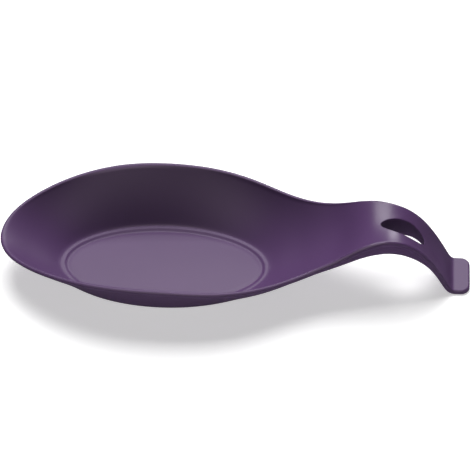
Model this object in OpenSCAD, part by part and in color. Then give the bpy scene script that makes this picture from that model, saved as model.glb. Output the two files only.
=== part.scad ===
// Spoon rest: one silicone rubber moulding.
// A deep fish-shaped bowl runs through a narrow neck into an arched handle, which has a slot
// for hanging and comes back down to a small foot tab. +X points along the handle, and the
// origin is the centre of the flat oval foot, on the surface that the rest stands on.

/* [Overall size] */
// Length from the tip of the bowl to the end of the foot tab
length = 276; // [240:2:320]
// Width across the rim of the bowl
width = 100; // [90:1:115]
// Height of the arch above the table
height = 48.5; // [42:0.5:56]

/* [Floor of the bowl] */
// Length of the flat oval floor
floor_l = 118; // [100:1:120]
// Width of the flat oval floor
floor_w = 56; // [48:1:60]
// Thickness of the floor
floor_t = 2; // [1.5:0.1:3]
// Height of the step round the floor
step_h = 0.9; // [0.4:0.1:1.5]
// Width of the shoulder on top of the step
shoulder_w = 1.8; // [1.2:0.1:3]

/* [Rim] */
// Radius of the rounded top of the rim
rim_r = 1.3; // [1:0.05:1.6]
// Height of the band under the rounded top
band_h = 1.5; // [1:0.1:2]
// How far the band stands out from the wall below it
band_out = 0.5; // [0.2:0.1:0.8]

/* [Slot in the handle] */
// Length of the slot
slot_l = 28; // [20:1:30]
// Width of the slot
slot_w = 10.8; // [8:0.2:13]
// Distance of the middle of the slot from the origin
slot_x = 140; // [136:0.5:142]

// How much fuller the slot is towards the foot tab, as a share of its width
slot_egg = 0.2; // [0:0.05:0.3]

/* [Foot tab] */
// Radius of the corners of the foot tab
tab_r = 4; // [3:0.5:7]

/* [Hidden] */

// Size at which the stations below are written
design_l = 276;
design_w = 100;
design_h = 48.5;

// Stations along the object, control points of one smooth curve:
// x, half width, rim height, thickness, dish, slope of the sheet at the rim, lean of the band
stations = [
    [-94.7,  0.0, 26.5,  2.0, 1.0, 35, 40],
    [-88.0, 17.5, 28.5,  2.0, 1.1, 45, 34],
    [-72.0, 30.7, 31.9,  2.0, 1.3, 55, 30],
    [-50.0, 41.6, 35.4,  2.0, 0.8, 60, 28],
    [-24.0, 48.1, 37.9,  2.0, 0.7, 62, 28],
    [  4.0, 49.1, 37.9,  2.0, 0.8, 62, 28],
    [ 30.0, 48.1, 35.4,  2.0, 0.9, 60, 28],
    [ 52.0, 42.2, 32.8,  2.0, 1.2, 55, 26],
    [ 70.0, 33.5, 31.0,  2.2, 1.3, 45, 20],
    [ 86.0, 26.0, 33.0,  3.2, 1.0, 34, 14],
    [100.0, 21.5, 37.5,  6.0, 1.0, 26,  8],
    [112.0, 18.0, 44.5,  9.5, 0.6, 18,  4],
    [122.0, 16.0, 48.5, 12.0, 0.5, 16,  4],
    [132.0, 14.0, 48.8, 12.5, 0.5, 15,  4],
    [142.0, 13.0, 45.5, 12.0, 0.7, 15,  4],
    [151.0, 12.5, 37.5,  9.0, 1.6, 16,  3],
    [159.0, 12.0, 25.0,  4.0, 3.0, 12,  2],
    [165.5, 11.8, 11.5,  3.4, 3.0,  4,  0],
    [169.0, 11.7,  3.4,  3.4, 3.0,  0,  0],
    [172.0, 11.7,  3.4,  3.4, 3.0,  0,  0],
    [178.7, 11.7,  3.4,  3.4, 3.0,  0,  0]
];
span_steps = 6;

scale_l = length / design_l;
scale_w = width / design_w;
scale_h = height / design_h;

// Shoulder oval, where the wall starts to rise
shoulder_a = floor_l / 2 + shoulder_w;
shoulder_b = floor_w / 2 + shoulder_w;
shoulder_z = floor_t + step_h;

// Places along the object where one shape hands over to the next: where it starts, and over
// what length
neck_x = 75 * scale_l;
slot_mid = slot_x * scale_l;
slot_from = slot_mid - slot_l / 2;
slot_to = slot_mid + slot_l / 2;
tab_x = 168 * scale_l;
tilt_x = 62;
tilt_l = 18;
wall_x = 60;
wall_l = 50;
flat_x = 95;
flat_l = 30;
fade_x = 160;
fade_l = 8;
belly_x = 100;
belly_l = 30;
belly_end_x = 140;
belly_end_l = 22;

// Extra depth of the handle along its middle, where the slot goes through
belly = 5;

// How softly the wall leaves the shoulder oval, as a share of the oval's size
fall_ease = 0.03;

// Drawing in of the side for each millimetre of thickness over that of the plain wall
thin_wall = 3;
side_draw = 0.06;

// Where the underside ends and the side begins, as shares of a ray, and how far the curve
// between them is pulled to its corner
under_share = 0.84;
corner_share = 0.93;
side_pull = 0.8;

// Taper of the step round the floor, and how far the foot is set in from the floor
step_taper = 0.3;
foot_inset = 0.5;

// Rays: the rim and the inner line are joined by one ray for each pair of their points
bowl_rays = 26;
neck_rays = 12;
slot_rays = 12;
foot_rays = 12;
corner_rays = 4;
end_rays = 2;
tab_rays = corner_rays + end_rays;

// Rays beyond the slot lean back by lag, which fades over lag_l; those of the tab fan out
lag = 4;
lag_l = 10;
fan = 3;
sheet_steps = 7;
arc_steps = 4;
side_steps = 4;

// Small steps: for a slope, against division by nothing, and in search of a place
slope_step = 0.05;
tiny = 0.000001;
search_gain = 0.4;
search_turns = 20;
on_middle = 0.0005;

function blend(a, b, t) = a + (b - a) * t;
function clamp(t) = min(1, max(0, t));
function smooth(t) = let (c = clamp(t)) c * c * (3 - 2 * c);
function unit(v) = v / norm(v);
function last(v) = v[len(v) - 1];

// One smooth curve through all columns of the stations; the square of the half width is
// splined, because that keeps the tip of the bowl round
scaled = [for (s = stations) [s.x * scale_l, pow(s.y * scale_w, 2), s.z * scale_h,
                              s[3], s[4], s[5], s[6]]];
control = concat([2 * scaled[0] - scaled[1]], scaled,
                 [2 * last(scaled) - scaled[len(scaled) - 2]]);

function spline(k, t) =
    ((1 - t) ^ 3 * control[k] + (3 * t ^ 3 - 6 * t ^ 2 + 4) * control[k + 1]
    + (1 + 3 * t + 3 * t ^ 2 - 3 * t ^ 3) * control[k + 2] + t ^ 3 * control[k + 3]) / 6;
function spline_slope(k, t) =
    (-(1 - t) ^ 2 * control[k] + (3 * t ^ 2 - 4 * t) * control[k + 1]
    + (1 + 2 * t - 3 * t ^ 2) * control[k + 2] + t ^ 2 * control[k + 3]) / 2;

spans = len(control) - 3;
places = concat([for (k = [0:spans - 1], j = [0:span_steps - 1]) [k, j / span_steps]],
                [[spans - 1, 1]]);
track = [for (p = places) spline(p[0], p[1])];
track_slope = [for (p = places) spline_slope(p[0], p[1])];

function column(c) = [for (p = track) [p.x, p[c]]];
half_sq = column(1);
rim_height = column(2);
thickness = column(3);
dishing = column(4);
rim_slope = column(5);
band_lean = column(6);
width_turn = [for (i = [0:len(track) - 1])
              [track[i].x, track_slope[i][1] / track_slope[i].x / 2]];
height_turn = [for (i = [0:len(track) - 1])
               [track[i].x, atan2(track_slope[i][2], track_slope[i].x)]];

function half(x) = sqrt(max(0, lookup(x, half_sq)));

// Direction that counts as up at x: straight up in the bowl, square to the handle beyond it
function up(x) = let (a = lookup(x, height_turn) * smooth((x - tilt_x) / tilt_l))
    [-sin(a), 0, cos(a)];

// How far the top surface lies below the rim at a place seen from above. It falls from the whole
// height of the wall, at the shoulder oval, to nothing at the rim
function depth(x, y) =
    let (r = max(0, norm([x / shoulder_a, y / shoulder_b]) - 1),
         e = r * r / (r + fall_ease),
         g = max(0, lookup(x, half_sq) - y * y) * 4 / (width * width),
         t = e / (e + lookup(x, dishing) * g + tiny),
         lift = rim_r / cos(lookup(x, rim_slope)) - rim_r,
         rise = lookup(x, rim_height) + lift - shoulder_z)
    rise * (1 - t) * (1 - smooth((x - fade_x) / fade_l)) - lift;
function level(x, y, below_rim) = [x, y, lookup(x, rim_height)] - below_rim * up(x);

// Top surface of the sheet, and the direction square to it
function sheet(x, y) = level(x, y, depth(x, y));
function sheet_normal(x, y) =
    let (h = slope_step)
    unit(cross(sheet(x + h, y) - sheet(x - h, y), sheet(x, y + h) - sheet(x, y - h)));

// Underside: a wall of even thickness in the bowl, a bar with a full belly under the handle
function wallness(x) = 1 - smooth((x - wall_x) / wall_l);
function flatness(x) = smooth((x - flat_x) / flat_l);
function swell(x, y) = belly * smooth((x - belly_x) / belly_l)
    * (1 - smooth((x - belly_end_x) / belly_end_l))
    * max(0, 1 - y * y / max(1, lookup(x, half_sq)));
function under(x, y) =
    let (p = level(x, y, depth(x, y) * (1 - flatness(x)) + swell(x, y))
             - lookup(x, thickness) * unit(blend(up(x), sheet_normal(x, y), wallness(x))))
    [p.x, p.y, max(p.z, 0)];

// Place on the underside that lies straight below a place on the top
function below(x, y, target, turns) =
    turns == 0 ? x : below(x + (target - under(x, y).x) * search_gain, y, target, turns - 1);

// Centreline of the rim, seen from above, from the tip of the bowl to the end of the foot tab
tip_x = track[0].x;
end_x = last(track).x;
tab_half = half(end_x);
corner_x = end_x - tab_r;
slot_turn = 180 / slot_rays;
rim_line = concat(
    [for (i = [0:bowl_rays]) let (x = tip_x + (neck_x - tip_x) * (1 - cos(90 * i / bowl_rays)))
        [x, half(x), x]],
    [for (i = [1:neck_rays]) let (x = blend(neck_x, slot_from, i / neck_rays))
        [x, half(x), x]],
    [for (i = [1:slot_rays]) let (t = i / slot_rays, u = (1 - cos(i * slot_turn)) / 2,
                                  x = blend(slot_from, slot_to + lag, (t + u) / 2))
        [x, half(x), x]],
    [for (i = [1:foot_rays]) let (x = blend(slot_to + lag, corner_x, i / foot_rays))
        [x, half(x), x]],
    [for (i = [1:corner_rays]) let (a = 90 - 90 * i / corner_rays)
        [corner_x + tab_r * cos(a), tab_half - tab_r + tab_r * sin(a), end_x]],
    [for (i = [1:end_rays]) [end_x, (tab_half - tab_r) * (1 - i / end_rays), end_x]]);
rays = len(rim_line) - 1;
side_rays = bowl_rays + neck_rays + slot_rays + foot_rays;

// Half of the slot's outline: an oval that is a little fuller towards the foot tab
function slot_edge(a) = [slot_mid + slot_l / 2 * cos(a),
                         slot_w / 2 * sin(a) * (1 + slot_egg * cos(a))];

// Inner end of each ray: round the shoulder oval, then along the middle of the handle and
// round the slot
inner_line = concat(
    [for (i = [0:bowl_rays]) let (a = 180 - 180 * i / bowl_rays)
        [shoulder_a * cos(a), i == 0 || i == bowl_rays ? 0 : shoulder_b * sin(a)]],
    [for (i = [1:neck_rays]) [blend(shoulder_a, slot_from, i / neck_rays), 0]],
    [for (i = [1:slot_rays]) slot_edge(180 - i * slot_turn)],
    [for (i = [1:foot_rays]) let (x = rim_line[side_rays - foot_rays + i].x)
        [x - lag * (1 - smooth((x - slot_to - lag) / lag_l))
         - fan * smooth((x - tab_x) / (corner_x - tab_x)), 0]],
    [for (i = [1:tab_rays])
        [blend(corner_x - fan, end_x - fan, min(i / (tab_rays - 1), 1)), 0]]);

// Direction out of the rim, seen from above
function outward(i) =
    i == rays ? [1, 0, 0]
    : i > side_rays
    ? let (d = rim_line[min(i + 1, rays)] - rim_line[i - 1]) unit([-d.y, d.x, 0])
    : unit([-lookup(rim_line[i].x, width_turn), rim_line[i].y, 0]);

// Closed side of the section along ray i, from its inner end over the top, round the rim and
// back along the underside
function chain(i) =
    let (x = rim_line[i].x,
         out = outward(i),
         n = up(x),
         slope = lookup(x, rim_slope),
         lean = lookup(x, band_lean),
         thick = lookup(x, thickness),
         mid = [x, rim_line[i].y, lookup(x, rim_height)] - rim_r * n,
         edge = mid - rim_r * sin(slope) * out,
         inner = inner_line[i],
         inner_low = i <= bowl_rays ? inner
             : [below(inner.x, inner.y, sheet(inner.x, inner.y).x, search_turns), inner.y],
         face = cos(lean) * out - sin(lean) * n,
         down = -sin(lean) * out - cos(lean) * n,
         band_end = mid + rim_r * face + band_h * down,
         tuck = mid + (rim_r - band_out) * face + (band_h + band_out / 2) * down,
         inset = rim_r - band_out - side_draw * max(0, thick - thin_wall),
         side = mid + inset * out - (thick - rim_r) * n,
         keep = wallness(x),
         low = under(blend(inner_low.x, edge.x, corner_share),
                     blend(inner_low.y, edge.y, corner_share)),
         corner = blend(side, low, keep),
         turn = under(blend(inner_low.x, edge.x, under_share),
                      blend(inner_low.y, edge.y, under_share)),
         a = blend(tuck, corner, side_pull),
         b = blend(turn, corner, side_pull))
    concat(
        [for (k = [0:sheet_steps]) let (q = k / sheet_steps)
            sheet(blend(inner.x, edge.x, q), blend(inner.y, edge.y, q))],
        [for (k = [1:arc_steps]) let (a = blend(90 + slope, -lean, k / arc_steps))
            mid + rim_r * (cos(a) * out + sin(a) * n)],
        [band_end, tuck],
        [for (k = [1:side_steps]) let (t = k / side_steps)
            (1 - t) ^ 3 * tuck + 3 * t * (1 - t) ^ 2 * a + 3 * t ^ 2 * (1 - t) * b + t ^ 3 * turn],
        [for (k = [1:sheet_steps]) let (q = under_share * (1 - k / sheet_steps))
            under(blend(inner_low.x, edge.x, q), blend(inner_low.y, edge.y, q))]);

// Loops inside the shoulder oval: shoulder, step, groove and floor above, foot below
function oval(a, b, z) =
    [for (i = [0:bowl_rays]) let (t = 180 - 180 * i / bowl_rays)
        [a * cos(t), i == 0 || i == bowl_rays ? 0 : b * sin(t), z]];
floor_a = floor_l / 2;
floor_b = floor_w / 2;
pan = [
    oval(floor_a + step_taper, floor_b + step_taper, shoulder_z),
    oval(floor_a, floor_b, floor_t),
    [for (i = [0:bowl_rays]) [0, 0, floor_t]]
];
foot = [
    oval(floor_a - foot_inset, floor_b - foot_inset, 0),
    [for (i = [0:bowl_rays]) [0, 0, 0]]
];

ray_points = [for (i = [0:rays]) chain(i)];
per_ray = len(ray_points[0]);
shell_points = [for (r = ray_points, p = r) p];
pan_points = [for (loop = pan, p = loop) p];
foot_points = [for (loop = foot, p = loop) p];
half_points = concat(shell_points, pan_points, foot_points);
count = len(half_points);
pan_from = len(shell_points);
foot_from = pan_from + len(pan_points);

// Index of a point on one side; points on the middle plane belong to both sides
function side_of(point, mirrored) = abs(half_points[point].y) < on_middle || !mirrored
    ? point : point + count;
function quad(a, b, c, d, mirrored) =
    let (f = [for (v = [a, b, c, d]) side_of(v, mirrored)],
         g = mirrored ? f : [f[3], f[2], f[1], f[0]])
    [[g[0], g[1], g[2]], [g[0], g[2], g[3]]];
function shell_at(i, k) = i * per_ray + k;
function loop_at(from, j, i) = from + j * (bowl_rays + 1) + i;
function distinct(f) = half_points_at(f[0]) != half_points_at(f[1])
    && half_points_at(f[1]) != half_points_at(f[2])
    && half_points_at(f[2]) != half_points_at(f[0]);
function half_points_at(v) = v < count ? half_points[v]
    : [half_points[v - count].x, -half_points[v - count].y, half_points[v - count].z];

function skin(mirrored) = concat(
    [for (i = [0:rays - 1], k = [0:per_ray - 2])
        quad(shell_at(i, k), shell_at(i + 1, k), shell_at(i + 1, k + 1), shell_at(i, k + 1),
             mirrored)],
    [for (i = [bowl_rays + neck_rays:bowl_rays + neck_rays + slot_rays - 1])
        quad(shell_at(i, per_ray - 1), shell_at(i + 1, per_ray - 1), shell_at(i + 1, 0),
             shell_at(i, 0), mirrored)],
    [for (i = [0:bowl_rays - 1])
        quad(loop_at(pan_from, 0, i), loop_at(pan_from, 0, i + 1), shell_at(i + 1, 0),
             shell_at(i, 0), mirrored)],
    [for (j = [1:len(pan) - 1], i = [0:bowl_rays - 1])
        quad(loop_at(pan_from, j, i), loop_at(pan_from, j, i + 1), loop_at(pan_from, j - 1, i + 1),
             loop_at(pan_from, j - 1, i), mirrored)],
    [for (i = [0:bowl_rays - 1])
        quad(shell_at(i, per_ray - 1), shell_at(i + 1, per_ray - 1), loop_at(foot_from, 0, i + 1),
             loop_at(foot_from, 0, i), mirrored)],
    [for (j = [1:len(foot) - 1], i = [0:bowl_rays - 1])
        quad(loop_at(foot_from, j - 1, i), loop_at(foot_from, j - 1, i + 1),
             loop_at(foot_from, j, i + 1), loop_at(foot_from, j, i), mirrored)]);

function all_points() = [for (v = [0:2 * count - 1]) half_points_at(v)];
function all_faces() = [for (m = [false, true], q = skin(m), f = q) if (distinct(f)) f];

module moulding() {
    polyhedron(points = all_points(), faces = all_faces(), convexity = 8);
}

module spoon_rest() {
    color("#5c4370")
    moulding();
}

spoon_rest();
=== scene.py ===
# %% [markdown]
# # A spoon rest moulded in silicone rubber
#
# This notebook builds the looks of a spoon rest: a deep bowl shaped like a fish, a narrow neck,
# an arched handle with a hanging slot, and a small foot tab. The real one is a single shot of
# silicone rubber from a steel mould, so it is made here as one closed skin.
#
# The imported CAD model is loaded first. It fixes the size and the place of the part.

import math

import bmesh
import bpy
import numpy as np
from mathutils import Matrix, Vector


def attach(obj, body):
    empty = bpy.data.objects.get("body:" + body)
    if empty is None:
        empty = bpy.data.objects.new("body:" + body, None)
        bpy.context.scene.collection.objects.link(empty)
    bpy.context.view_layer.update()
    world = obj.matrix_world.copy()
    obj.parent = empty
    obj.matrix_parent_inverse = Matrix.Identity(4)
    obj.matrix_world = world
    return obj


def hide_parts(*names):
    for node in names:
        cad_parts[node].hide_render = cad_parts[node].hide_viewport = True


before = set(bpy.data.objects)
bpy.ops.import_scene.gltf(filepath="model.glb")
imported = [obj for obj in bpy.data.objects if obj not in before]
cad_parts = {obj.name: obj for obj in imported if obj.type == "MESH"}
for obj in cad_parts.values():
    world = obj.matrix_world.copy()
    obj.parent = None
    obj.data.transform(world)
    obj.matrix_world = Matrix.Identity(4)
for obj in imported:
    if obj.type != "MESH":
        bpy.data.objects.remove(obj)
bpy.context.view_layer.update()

# %% [markdown]
# ## The sizes
#
# All sizes are in millimetres, as on a mould drawing, and are turned to metres only when the
# mesh is made. They are the sizes of the CAD part, with a few finer ones that the part leaves
# out: the groove round the floor and the soft edges of the slot.

# %% Sizes in millimetres
MM = 0.001

FLOOR_A, FLOOR_B = 59, 28        # half length and half width of the flat oval floor
FLOOR_Z = 2.0                    # top of the floor above the table
SHOULDER = 1.8                   # width of the shoulder round the floor
SHOULDER_Z = 2.9                 # top of the shoulder
RIM_R = 1.3                      # radius of the rounded top of the rim
BAND_H, BAND_OUT = 1.5, 0.5      # band under the rim: its height, and how far it stands out
SLOT_X, SLOT_A, SLOT_B = 140, 14, 5.4   # slot: its middle, half length and half width
SLOT_EGG = 0.2                   # how much fuller the slot is towards the foot tab
SLOT_EDGE = 0.7                  # rounding of the slot's edges
TAB_R = 4                        # radius of the corners of the foot tab
NECK_X = 75                      # where the bowl's rays end and the neck's begin
print("flat floor:", 2 * FLOOR_A, "by", 2 * FLOOR_B, "mm; slot:", 2 * SLOT_A, "by",
      2 * SLOT_B, "mm")

# %% [markdown]
# ## The stations
#
# A boat builder draws a hull as sections at a few stations and lets a bent batten find the
# curve between them. The same is done here. Each row holds the section at one place along the
# part, and a cubic B-spline, which is the batten of a computer, runs smoothly past the rows.
# It passes near them and not through them, so the skin has no ripples.
#
# The half width is squared before it is smoothed. A square that falls evenly to zero gives a
# round tip, where the width itself would give a sharp one.

# %% Stations along the part
# x, half width, rim height, thickness, dish, slope of the sheet at the rim, lean of the band
STATIONS = [
    (-94.7, 0.0, 26.5, 2.0, 1.0, 35, 40),
    (-88.0, 17.5, 28.5, 2.0, 1.1, 45, 34),
    (-72.0, 30.7, 31.9, 2.0, 1.3, 55, 30),
    (-50.0, 41.6, 35.4, 2.0, 0.8, 60, 28),
    (-24.0, 48.1, 37.9, 2.0, 0.7, 62, 28),
    (4.0, 49.1, 37.9, 2.0, 0.8, 62, 28),
    (30.0, 48.1, 35.4, 2.0, 0.9, 60, 28),
    (52.0, 42.2, 32.8, 2.0, 1.2, 55, 26),
    (70.0, 33.5, 31.0, 2.2, 1.3, 45, 20),
    (86.0, 26.0, 33.0, 3.2, 1.0, 34, 14),
    (100.0, 21.5, 37.5, 6.0, 1.0, 26, 8),
    (112.0, 18.0, 44.5, 9.5, 0.6, 18, 4),
    (122.0, 16.0, 48.5, 12.0, 0.5, 16, 4),
    (132.0, 14.0, 48.8, 12.5, 0.5, 15, 4),
    (142.0, 13.0, 45.5, 12.0, 0.7, 15, 4),
    (151.0, 12.5, 37.5, 9.0, 1.6, 16, 3),
    (159.0, 12.0, 25.0, 4.0, 3.0, 12, 2),
    (165.5, 11.8, 11.5, 3.4, 3.0, 4, 0),
    (169.0, 11.7, 3.4, 3.4, 3.0, 0, 0),
    (172.0, 11.7, 3.4, 3.4, 3.0, 0, 0),
    (178.7, 11.7, 3.4, 3.4, 3.0, 0, 0),
]
STEPS_PER_SPAN = 40


def batten(rows, steps):
    """Points on a uniform cubic B-spline that starts at the first row and ends at the last."""
    rows = np.array(rows, float)
    control = np.vstack([2 * rows[0] - rows[1], rows, 2 * rows[-1] - rows[-2]])
    t = np.linspace(0, 1, steps + 1)[:, None]
    pull = np.hstack([(1 - t) ** 3, 3 * t**3 - 6 * t**2 + 4,
                      1 + 3 * t + 3 * t**2 - 3 * t**3, t**3]) / 6
    spans = [pull @ control[k:k + 4] for k in range(len(control) - 3)]
    return np.vstack([s[:-1] for s in spans] + [spans[-1][-1:]])


track = batten([(x, w * w, *rest) for x, w, *rest in STATIONS], STEPS_PER_SPAN)
along = track[:, 0]
half_sq, rim_height, thickness, dish, rim_slope, band_lean = track[:, 1:].T
height_turn = np.arctan2(np.gradient(rim_height), np.gradient(along))
width_turn = np.gradient(half_sq) / np.gradient(along) / 2
TIP_X, END_X = float(along[0]), float(along[-1])
print(f"{len(track)} sections from x = {TIP_X:.1f} to {END_X:.1f} mm")

# %% [markdown]
# ## The top surface
#
# Everything that a spoon touches is one surface, so it is written as one formula: how far the
# surface lies below the rim at a place seen from above. The answer is the whole height of the
# wall at the floor and nothing at the rim, and the `dish` column says how the fall is shared
# out between them. Near the handle the fall is measured square to the handle, not straight
# down, so the section stays true where the handle climbs and dives.

# %% The top surface as a formula
LEAN_FROM, LEAN_TO = 62, 80      # where "up" starts to follow the handle, and where it does
FLAT_FROM, FLAT_TO = 160, 168    # where the handle's top turns flat, for the tab
HALF_W = 50                      # half of the greatest width
SOFT_START = 0.03                # how gently the wall starts to rise from the shoulder
TINY = 1e-6                      # a number small enough to stand for zero


def at(column, x):
    """Value of one column of the track at x."""
    return float(np.interp(x, along, column))


def ease(x, start, end):
    """0 before start, 1 after end, and a smooth step between them."""
    t = min(1, max(0, (x - start) / (end - start)))
    return t * t * (3 - 2 * t)


def mix(a, b, t):
    return a + (b - a) * t


def half(x):
    return math.sqrt(max(0, at(half_sq, x)))


def up(x):
    a = at(height_turn, x) * ease(x, LEAN_FROM, LEAN_TO)
    return Vector((-math.sin(a), 0, math.cos(a)))


def depth(x, y):
    """How far the top surface lies below the rim's crest."""
    reach = max(0, math.hypot(x / (FLOOR_A + SHOULDER), y / (FLOOR_B + SHOULDER)) - 1)
    beyond = reach * reach / (reach + SOFT_START)
    inside = max(0, at(half_sq, x) - y * y) / HALF_W**2
    risen = beyond / (beyond + at(dish, x) * inside + TINY)
    lift = RIM_R / math.cos(math.radians(at(rim_slope, x))) - RIM_R
    wall = at(rim_height, x) + lift - SHOULDER_Z
    return wall * (1 - risen) * (1 - ease(x, FLAT_FROM, FLAT_TO)) - lift


def level(x, y, below_rim):
    return Vector((x, y, at(rim_height, x))) - below_rim * up(x)


def sheet(x, y):
    return level(x, y, depth(x, y))


def sheet_normal(x, y, step=0.05):
    dx = sheet(x + step, y) - sheet(x - step, y)
    dy = sheet(x, y + step) - sheet(x, y - step)
    return dx.cross(dy).normalized()


print("height of the sheet at the middle of the neck:", round(sheet(80, 0).z, 1), "mm")

# %% [markdown]
# ## The underside
#
# Under the bowl the rubber is an even 2 mm sheet, so the underside is the top moved along its
# own normal. Under the handle it is a thick bar with a rounded belly, so that the arch doesn't
# sag. One formula passes slowly from the first to the second along the neck. Nothing may go
# below the table, and that is what makes the flat foot.

# %% The underside as a formula
BAR_FROM, BAR_TO = 60, 110       # sheet of even thickness before, bar after
BED_FROM, BED_TO = 95, 125       # dished underside before, rounded underside after
BELLY = 5                        # how far the middle of the bar hangs below its sides
BELLY_FROM, BELLY_TO = 100, 130  # where the belly begins, and where it is full
BELLY_END_FROM, BELLY_END_TO = 140, 162   # where it begins to end, and where it is gone


def under(x, y):
    n = up(x).lerp(sheet_normal(x, y), 1 - ease(x, BAR_FROM, BAR_TO)).normalized()
    belly = 0
    if x > BELLY_FROM:
        belly = (BELLY * ease(x, BELLY_FROM, BELLY_TO)
                 * (1 - ease(x, BELLY_END_FROM, BELLY_END_TO))
                 * max(0, 1 - y * y / at(half_sq, x)))
    bed = depth(x, y) * (1 - ease(x, BED_FROM, BED_TO))
    p = level(x, y, bed + belly) - at(thickness, x) * n
    p.z = max(p.z, 0)
    return p


def below(x, y, target, turns=30, share=0.4):
    """The x for which the underside lies straight below a place on the top."""
    for _ in range(turns):
        x += (target - under(x, y).x) * share
    return x


print("bar under the arch is", round(sheet(125, 0).z - under(125, 0).z, 1), "mm deep")

# %% [markdown]
# ## The rays
#
# A mesh is clean when its faces are four-sided and run along the shape. Here every row of
# faces is a ray: it starts in the middle of the part, runs out over the top, goes round the
# rim and comes back underneath. One list holds the outer ends of the rays, along the rim, and
# a second holds their inner ends: round the floor, along the middle of the handle, and round
# the slot. Only one side is drawn, and the other is its mirror image.

# %% Outer and inner ends of the rays
BOWL, NECK, SLOT, FOOT, CORNER, END = 90, 30, 40, 44, 12, 6   # rays in each stretch
LAG, CATCH_UP = 5, 10            # how far inner ends trail at the slot, and how soon they don't
FAN = 3                          # how far they trail again at the end of the tab
TAB_X = 168                      # where the tab begins
slot_from, slot_to = SLOT_X - SLOT_A - SLOT_EDGE, SLOT_X + SLOT_A
corner_x = END_X - TAB_R
tab_half = half(END_X)


def slot_outline(angle, grow=0.0):
    """Place on the slot's outline, grown outwards. It is a little fuller at the far end."""
    c, s = math.cos(angle), math.sin(angle)
    return SLOT_X + (SLOT_A + grow) * c, (SLOT_B + grow) * s * (1 + SLOT_EGG * c)


def outer_ends():
    """Along the rim, from the tip to the middle of the tab's end."""
    places = [mix(TIP_X, NECK_X, 1 - math.cos(math.pi / 2 * i / BOWL)) for i in range(BOWL + 1)]
    places += [mix(NECK_X, slot_from, i / NECK) for i in range(1, NECK + 1)]
    for i in range(1, SLOT + 1):
        evenly, rounded = i / SLOT, (1 - math.cos(math.pi * i / SLOT)) / 2
        places.append(mix(slot_from, slot_to + LAG, (evenly + rounded) / 2))
    places += [mix(slot_to + LAG, corner_x, i / FOOT) for i in range(1, FOOT + 1)]
    ends = [(x, half(x)) for x in places]
    for i in range(1, CORNER + 1):
        a = math.pi / 2 * (1 - i / CORNER)
        ends.append((corner_x + TAB_R * math.cos(a), tab_half - TAB_R + TAB_R * math.sin(a)))
    ends += [(END_X, (tab_half - TAB_R) * (1 - i / END)) for i in range(1, END + 1)]
    return ends


def inner_ends(ends):
    """Round the floor, along the handle's middle, round the slot and along the tab's middle."""
    a, b = FLOOR_A + SHOULDER, FLOOR_B + SHOULDER
    inner = [(-a * math.cos(t), b * math.sin(t)) for i in range(BOWL + 1)
             for t in [math.pi * i / BOWL]]
    inner += [(mix(a, slot_from, i / NECK), 0) for i in range(1, NECK + 1)]
    inner += [slot_outline(math.pi * (1 - i / SLOT), SLOT_EDGE) for i in range(1, SLOT + 1)]
    for i in range(1, FOOT + 1):
        x = ends[len(inner)][0]
        caught_up = ease(x, slot_to + LAG, slot_to + LAG + CATCH_UP)
        inner.append((x - (LAG - SLOT_EDGE) * (1 - caught_up)
                      - FAN * ease(x, TAB_X, corner_x), 0))
    last = CORNER + END
    inner += [(mix(corner_x, END_X, min(i / (last - 1), 1)) - FAN, 0)
              for i in range(1, last + 1)]
    return [(x, 0.0 if abs(y) < TINY else y) for x, y in inner]


rim_ends = outer_ends()
core_ends = inner_ends(rim_ends)
SIDE = BOWL + NECK + SLOT + FOOT
RAYS = len(rim_ends) - 1
print(RAYS, "rays on each side")

# %% [markdown]
# ## The section along a ray
#
# A ray's section starts at its inner end, runs over the top, turns round the bead of the rim,
# drops down the band, tucks in under it and comes back along the underside. The bead and the
# band are there on the real part because the mould's two halves meet at them: the band hides
# the step that is left if they don't quite line up.

# %% One section
TOP_STEPS, BEAD_STEPS, BAND_STEPS, SIDE_STEPS, UNDER_STEPS = 26, 12, 3, 12, 22
LOW_AT, TURN_AT = 0.93, 0.84     # where the side reaches the underside, as shares of the ray
SIDE_PULL = 0.8                  # how squarely the side turns into the underside
SHEET_MAX = 3                    # a section thicker than this is a bar, and its side slopes in
DRAFT = 0.06                     # how far it slopes in for each millimetre of extra depth


def outward(i):
    """Direction out of the rim at ray i, seen from above."""
    if i == RAYS:
        return Vector((1, 0, 0))
    if i > SIDE:
        before, after = rim_ends[i - 1], rim_ends[i + 1]
        return Vector((after[1] - before[1], before[0] - after[0], 0)).normalized() * -1
    x, y = rim_ends[i]
    return Vector((-at(width_turn, x), y, 0)).normalized()


def bezier(a, b, c, d, t):
    return (1 - t)**3 * a + 3 * t * (1 - t)**2 * b + 3 * t * t * (1 - t) * c + t**3 * d


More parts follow.
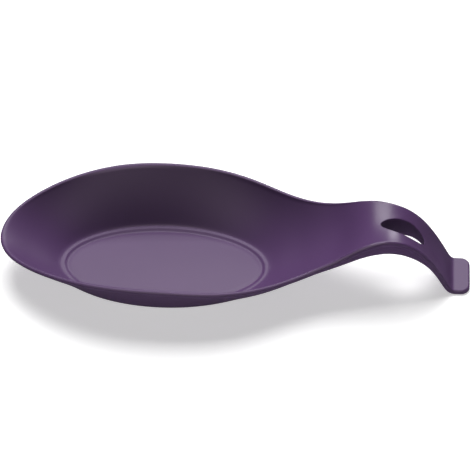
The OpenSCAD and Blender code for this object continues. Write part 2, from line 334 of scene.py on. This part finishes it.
def section(i):
    x, y = rim_ends[i]
    out, n = outward(i), up(x)
    slope, lean = math.radians(at(rim_slope, x)), math.radians(at(band_lean, x))
    thick = at(thickness, x)
    mid = Vector((x, y, at(rim_height, x))) - RIM_R * n
    edge = mid - RIM_R * math.sin(slope) * out
    ix, iy = core_ends[i]
    low_x = ix if i <= BOWL else below(ix, iy, sheet(ix, iy).x)

    points = [sheet(mix(ix, edge.x, q), mix(iy, edge.y, q))
              for q in np.linspace(0, 1, TOP_STEPS + 1).tolist()]
    for k in range(1, BEAD_STEPS + 1):
        a = mix(math.pi / 2 + slope, -lean, k / BEAD_STEPS)
        points.append(mid + RIM_R * (math.cos(a) * out + math.sin(a) * n))

    face = math.cos(lean) * out - math.sin(lean) * n
    down = -math.sin(lean) * out - math.cos(lean) * n
    points += [mid + RIM_R * face + BAND_H * k / BAND_STEPS * down
               for k in range(1, BAND_STEPS + 1)]
    tuck = mid + (RIM_R - BAND_OUT) * face + (BAND_H + BAND_OUT / 2) * down
    points.append(tuck)

    keep = 1 - ease(x, BAR_FROM, BAR_TO)
    inset = RIM_R - BAND_OUT - DRAFT * max(0, thick - SHEET_MAX)
    side = mid + inset * out - (thick - RIM_R) * n
    low = under(mix(low_x, edge.x, LOW_AT), mix(iy, edge.y, LOW_AT))
    corner = side.lerp(low, keep)
    turn = under(mix(low_x, edge.x, TURN_AT), mix(iy, edge.y, TURN_AT))
    points += [bezier(tuck, tuck.lerp(corner, SIDE_PULL), turn.lerp(corner, SIDE_PULL), turn,
                      k / SIDE_STEPS) for k in range(1, SIDE_STEPS + 1)]
    points += [under(mix(low_x, edge.x, q), mix(iy, edge.y, q))
               for q in np.linspace(TURN_AT, 0, UNDER_STEPS + 1).tolist()[1:]]
    return points


sections = [section(i) for i in range(RAYS + 1)]
print(len(sections), "sections of", len(sections[0]), "points")

# %% [markdown]
# ## The floor, the groove and the foot
#
# The flat floor is let into the bowl by a small step, with a shallow groove along its foot.
# On the real part the step is the edge of a separate insert in the mould, and it stops a drip
# from running up the wall. It is drawn as a profile, from the shoulder to the floor, which is
# swept round the oval.

# %% Rings inside the shoulder, above and below
# distance outside the floor's edge, height above the table; the last ring is a line
STEP_PROFILE = [(1.5, SHOULDER_Z), (1.2, SHOULDER_Z), (0.9, 2.89), (0.6, 2.86),
                (0.3, 2.78), (0.0, 2.64), (-0.3, 2.46), (-0.6, 2.27), (-0.9, 2.09),
                (-1.2, 1.95), (-1.5, 1.86), (-1.8, 1.82), (-2.1, 1.82), (-2.5, 1.86),
                (-3.0, 1.92), (-3.6, 1.97), (-4.4, FLOOR_Z), (-5.5, FLOOR_Z),
                (-8, FLOOR_Z), (-12, FLOOR_Z), (-18, FLOOR_Z), (-FLOOR_B, FLOOR_Z)]
FOOT_PROFILE = [(1.2, 0.82), (0.8, 0.66), (0.4, 0.42), (0.0, 0.2), (-0.4, 0.06), (-0.9, 0.0),
                (-4, 0.0), (-10, 0.0), (-18, 0.0), (-FLOOR_B, 0.0)]


def ring(offset, z):
    """Half an oval. Shrunk by FLOOR_B it is a line, which closes the middle."""
    return [Vector((-(FLOOR_A + offset) * math.cos(t), (FLOOR_B + offset) * math.sin(t), z))
            for i in range(BOWL + 1) for t in [math.pi * i / BOWL]]


EDGE_STEPS, LINING_STEPS = 6, 8  # points round each edge of the slot, and down its wall


def slot_lining(i):
    """Points down the wall of the slot at ray i, from the top sheet to the underside."""
    x, y = slot_outline(math.pi * (1 - (i - BOWL - NECK) / SLOT))
    upper = sheet(x, y)
    lower = Vector((upper.x, y, under(below(x, y, upper.x), y).z))
    start, end, drop = sections[i][0], sections[i][-1], Vector((0, 0, SLOT_EDGE))
    steps = [k / EDGE_STEPS for k in range(1, EDGE_STEPS + 1)]
    points = [(1 - t)**2 * start + 2 * t * (1 - t) * upper + t * t * (upper - drop)
              for t in steps]
    points += [(upper - drop).lerp(lower + drop, k / LINING_STEPS)
               for k in range(1, LINING_STEPS + 1)]
    points += [(1 - t)**2 * (lower + drop) + 2 * t * (1 - t) * lower + t * t * end
               for t in steps[:-1]]
    return points


floor_rings = [ring(*step) for step in STEP_PROFILE]
foot_rings = [ring(*step) for step in FOOT_PROFILE]
linings = [slot_lining(i) for i in range(BOWL + NECK, BOWL + NECK + SLOT + 1)]
print(len(floor_rings), "rings above,", len(foot_rings), "below,", len(linings), "linings")

# %% [markdown]
# ## The mesh
#
# The grids are now stitched together. A grid is a list of rows with as many points in each.
# Neighbouring grids share their points, so `bmesh` is asked to weld what lies in one place.
# Mirroring is done by building each grid twice, once with y turned round, and the welding
# closes the seam along the middle.

# %% Stitch the grids into one skin
def grids():
    """All grids of one side, as rows of points."""
    first, last = BOWL + NECK, BOWL + NECK + SLOT
    yield sections
    yield [[s[0] for s in sections[:BOWL + 1]], *floor_rings]
    yield [[s[-1] for s in sections[:BOWL + 1]], *foot_rings]
    yield [[sections[i][0], *lining, sections[i][-1]]
           for i, lining in zip(range(first, last + 1), linings)]


def stitch(bm, rows, side):
    """A grid of four-sided faces, or three-sided ones where two points of a row coincide."""
    made = [[bm.verts.new((p.x * MM, p.y * MM * side, p.z * MM)) for p in row] for row in rows]
    for a, b in zip(made, made[1:]):
        for k in range(len(a) - 1):
            bm.faces.new([a[k], a[k + 1], b[k + 1], b[k]])


WELD = 1e-6                      # metres; points closer than this are one point

bm = bmesh.new()
for side in (1, -1):
    for grid in grids():
        stitch(bm, grid, side)
bmesh.ops.remove_doubles(bm, verts=bm.verts, dist=WELD)
bmesh.ops.dissolve_degenerate(bm, edges=bm.edges, dist=WELD)
bmesh.ops.recalc_face_normals(bm, faces=bm.faces)
for f in bm.faces:
    f.smooth = True
loose = [e for e in bm.edges if len(e.link_faces) != 2]
print(len(bm.verts), "points,", len(bm.faces), "faces,", len(loose), "open edges,",
      round(bm.calc_volume() * 100**3, 1), "cubic centimetres")

mesh = bpy.data.meshes.new("moulded_skin")
bm.to_mesh(mesh)
bm.free()
skin = bpy.data.objects.new("moulded_skin", mesh)
bpy.context.scene.collection.objects.link(skin)
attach(skin, "root")
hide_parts("spoon_rest")

# %% [markdown]
# ## Silicone rubber
#
# The part is silicone rubber, coloured through with a deep purple pigment and moulded in steel
# that was blasted with fine grit. The grit leaves a dull skin: light spreads over it in a wide
# soft sheen, and nothing is mirrored. The pigment never mixes perfectly, so the purple drifts
# very slightly over a few centimetres.
#
# The hand takes the part by the top of its arch. Rubbing and skin oil polish the rubber there,
# so its sheen is narrower and brighter on the arch than in the bowl. The distance from the
# crest of the arch drives the roughness, which keeps the change soft, as wear is.
#
# Silicone rubber has an IOR of about 1.41. The blasting grit is 0.1 to 0.3 mm across, which is
# too fine to show at this size, so it is drawn 0.9 mm wide and very shallow.

# %% A colour as a shader needs it
def colour(hex_code):
    """A colour written as sRGB hex, as the linear numbers that a shader needs."""
    parts = [int(hex_code[i:i + 2], 16) / 255 for i in (1, 3, 5)]
    return tuple(c / 12.92 if c <= 0.04045 else ((c + 0.055) / 1.055)**2.4
                 for c in parts) + (1,)


print("a middle grey, as a shader needs it:", [round(c, 3) for c in colour("#808080")])

# %% Adding a node
def add_node(tree, kind, settings=(), values=(), links=()):
    """Adds a node, sets its properties and input values, and joins its inputs."""
    node = tree.nodes.new(kind)
    for name, value in dict(settings).items():
        setattr(node, name, value)
    for name, value in dict(values).items():
        node.inputs[name].default_value = value
    for name, source in dict(links).items():
        tree.links.new(source, node.inputs[name])
    return node


# %% The silicone material
PIGMENT_DEEP, PIGMENT_PALE = "#513860", "#573c66"
SILICONE_IOR, SHEEN = 1.41, 0.43
DRIFT = 40 * MM                  # width of the clouds in the pigment
GRIT = 0.9 * MM                  # width of the grit's marks, drawn coarser than it is
GRIT_DEPTH, GRIT_SHOWN = 0.05 * MM, 0.12   # depth of the marks, and how strongly they show
GRIT_ROUGH = 0.06                # roughness that the marks add
WORN_ROUGH, DULL_ROUGH = 0.31, 0.47        # on top of the arch, and everywhere else
CREST = (135 * MM, 0, 48 * MM)   # where the hand rubs most
WORN_R, DULL_R = 20 * MM, 55 * MM          # the wear fades out between these distances


def silicone_moulded():
    """Silicone rubber from a grit-blasted mould, a little polished where it is held."""
    made = bpy.data.materials.new("silicone_moulded")
    made.use_nodes = True
    tree = made.node_tree
    tree.nodes.clear()
    place = add_node(tree, "ShaderNodeTexCoord").outputs["Object"]
    drift = add_node(tree, "ShaderNodeTexNoise", values={"Scale": 1 / DRIFT, "Detail": 2},
                     links={"Vector": place})
    grit = add_node(tree, "ShaderNodeTexNoise", values={"Scale": 1 / GRIT, "Detail": 3},
                    links={"Vector": place})
    pigment = add_node(tree, "ShaderNodeMix", {"data_type": "RGBA"},
                       {"A": colour(PIGMENT_DEEP), "B": colour(PIGMENT_PALE)},
                       {"Factor": drift.outputs["Fac"]})
    away = add_node(tree, "ShaderNodeVectorMath", {"operation": "DISTANCE"}, {1: CREST},
                    {0: place})
    handled = add_node(tree, "ShaderNodeMapRange",
                       values={"From Min": WORN_R, "From Max": DULL_R,
                               "To Min": WORN_ROUGH, "To Max": DULL_ROUGH},
                       links={"Value": away.outputs["Value"]})
    rough = add_node(tree, "ShaderNodeMath", {"operation": "MULTIPLY_ADD"}, {1: GRIT_ROUGH},
                     {0: grit.outputs["Fac"], 2: handled.outputs["Result"]})
    bump = add_node(tree, "ShaderNodeBump",
                    values={"Strength": GRIT_SHOWN, "Distance": GRIT_DEPTH},
                    links={"Height": grit.outputs["Fac"]})
    surface = add_node(tree, "ShaderNodeBsdfPrincipled",
                       values={"IOR": SILICONE_IOR, "Specular IOR Level": SHEEN},
                       links={"Base Color": pigment.outputs["Result"],
                              "Roughness": rough.outputs["Value"],
                              "Normal": bump.outputs["Normal"]})
    add_node(tree, "ShaderNodeOutputMaterial", links={"Surface": surface.outputs["BSDF"]})
    return made


mesh.materials.append(silicone_moulded())
print("material:", mesh.materials[0].name)

# %% [markdown]
# ## The floor
#
# The part stands on a sheet of pale matt paper. The paper glows a little of its own, which
# stands for the light that a white studio throws back from all round, and it keeps the shadow
# soft. Mirror rays don't see it, because a paper that also shone in the rubber would wash out
# the dark underside of the rim. It lies a hair below the part, so that the two faces don't
# coincide.

# %% The floor
PAPER_REACH = 4.0                # metres from the middle to each edge
PAPER_Z = -0.1 * MM
PAPER_GLOW = 0.5

floor_mesh = bpy.data.meshes.new("floor")
corners = [(-1, -1), (1, -1), (1, 1), (-1, 1)]
floor_mesh.from_pydata([(PAPER_REACH * i, PAPER_REACH * j, PAPER_Z) for i, j in corners],
                       [], [(0, 1, 2, 3)])
floor = bpy.data.objects.new("floor", floor_mesh)
bpy.context.scene.collection.objects.link(floor)
floor.visible_glossy = False

paper = bpy.data.materials.new("paper_matt")
paper.use_nodes = True
for name, value in {"Base Color": colour("#e6e6e6"), "Roughness": 0.9,
                    "Emission Color": colour("#ffffff"),
                    "Emission Strength": PAPER_GLOW}.items():
    paper.node_tree.nodes["Principled BSDF"].inputs[name].default_value = value
floor_mesh.materials.append(paper)
print("floor:", 2 * PAPER_REACH, "m square")

# %% [markdown]
# ## The camera
#
# The camera looks down at the part from nearly two metres away with a long lens, as is usual
# for a catalogue, so that the near side isn't drawn larger than the far side.

# %% The camera
VIEW_TURN, VIEW_DROP = math.radians(2.5), math.radians(50)
DISTANCE = 1.9                   # metres
LENS, SENSOR = 246, 36           # millimetres
TARGET = Vector((40.8, 16.6, 12.6)) * MM

look = Vector((-math.sin(VIEW_TURN) * math.cos(VIEW_DROP),
               math.cos(VIEW_TURN) * math.cos(VIEW_DROP), -math.sin(VIEW_DROP)))
camera = bpy.data.objects.new("camera", bpy.data.cameras.new("camera"))
camera.data.lens, camera.data.sensor_width = LENS, SENSOR
camera.data.clip_end = 20        # metres
camera.location = TARGET - look * DISTANCE
camera.rotation_euler = look.to_track_quat("-Z", "Y").to_euler()
bpy.context.scene.collection.objects.link(camera)
bpy.context.scene.camera = camera
print("the camera is", round(camera.location.z, 2), "m above the floor")

# %% [markdown]
# ## The light
#
# Three soft boxes light the part. The key box hangs high and a little behind it, so whatever
# lies flat is bright, and the far wall of the bowl, which leans away from the box, stays dark.
#
# A low box behind the part, to its right, draws the sheen on the arch. A card in front, faintly
# warm, puts a dull sheen on the dark far wall. Both are seen by mirror rays only. In a studio
# they would be strips of white card set at the angle where the rubber mirrors them, far too
# dim to light anything else.

# %% Soft boxes
def soft_box(name, azimuth, elevation, distance, size, watts, sheen_only=False):
    """A square area light aimed at the part. Azimuth 0 is behind the part, 90 to its right."""
    a, e = math.radians(azimuth), math.radians(elevation)
    light = bpy.data.lights.new(name, "AREA")
    light.shape, light.size, light.energy = "SQUARE", size, watts
    lamp = bpy.data.objects.new(name, light)
    lamp.location = Vector((math.sin(a) * math.cos(e), math.cos(a) * math.cos(e),
                            math.sin(e))) * distance
    lamp.rotation_euler = (-lamp.location).to_track_quat("-Z", "Y").to_euler()
    lamp.visible_diffuse = not sheen_only
    bpy.context.scene.collection.objects.link(lamp)
    return lamp


soft_box("key_box", -6, 67, 1.6, 1.05, 34)
soft_box("low_box", 26, 35, 1.6, 0.45, 11, sheen_only=True)
front_card = soft_box("front_card", 180, 41, 2.2, 1.6, 30, sheen_only=True)
front_card.data.color = (1, 0.98, 0.8)
for lamp in bpy.data.lights:
    print(lamp.name, round(lamp.energy), "W,", round(lamp.size, 2), "m square")

# %% The room's own light
ROOM_GLOW = 0.05
world = bpy.data.worlds.new("studio")
world.use_nodes = True
room = world.node_tree.nodes["Background"].inputs
room["Color"].default_value = colour("#ffffff")
room["Strength"].default_value = ROOM_GLOW
bpy.context.scene.world = world
bpy.context.scene.view_settings.view_transform = "Standard"
print("room glow:", ROOM_GLOW)
